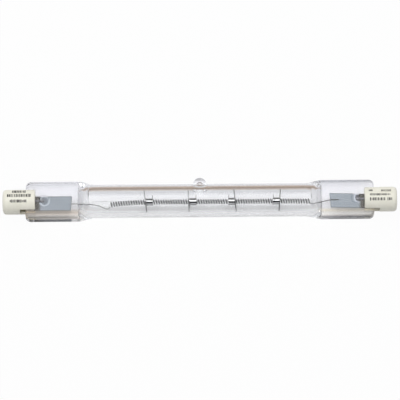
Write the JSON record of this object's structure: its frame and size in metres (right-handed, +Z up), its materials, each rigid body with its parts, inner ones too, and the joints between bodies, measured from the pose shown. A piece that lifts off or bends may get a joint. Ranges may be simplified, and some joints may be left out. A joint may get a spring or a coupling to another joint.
{
  "type": "linear halogen lamp",
  "caption": "Double-ended tubular lamp: a clear quartz tube with a long wound filament on wire supports, flat pinch seals and slotted ceramic end caps with recessed contacts.",
  "frame": {"origin": "on the tube's axis, halfway along the lamp", "axes": "+X along the lamp from its left cap to its right one; +Z up, away from the surface the tube lies on; the exhaust tip leans towards +Y and down"},
  "size_m": [0.1176, 0.0128, 0.01],
  "materials": {
    "quartz": "clear",
    "ceramic": "satin",
    "cement": "matt",
    "tungsten": "satin",
    "molybdenum": "satin",
    "nickel": "satin"
  },
  "bodies": {
    "root": {"filament": "tungsten", "filament_support_1": "tungsten", "filament_support_2": "tungsten", "filament_support_3": "tungsten", "filament_support_4": "tungsten", "left_foil": "molybdenum", "right_foil": "molybdenum", "left_outer_lead": "molybdenum", "right_outer_lead": "molybdenum", "quartz_envelope": "quartz", "left_cap": "ceramic", "right_cap": "ceramic", "left_contact": "nickel", "right_contact": "nickel", "left_cement": "cement", "right_cement": "cement"}
  },
  "joints": []
}
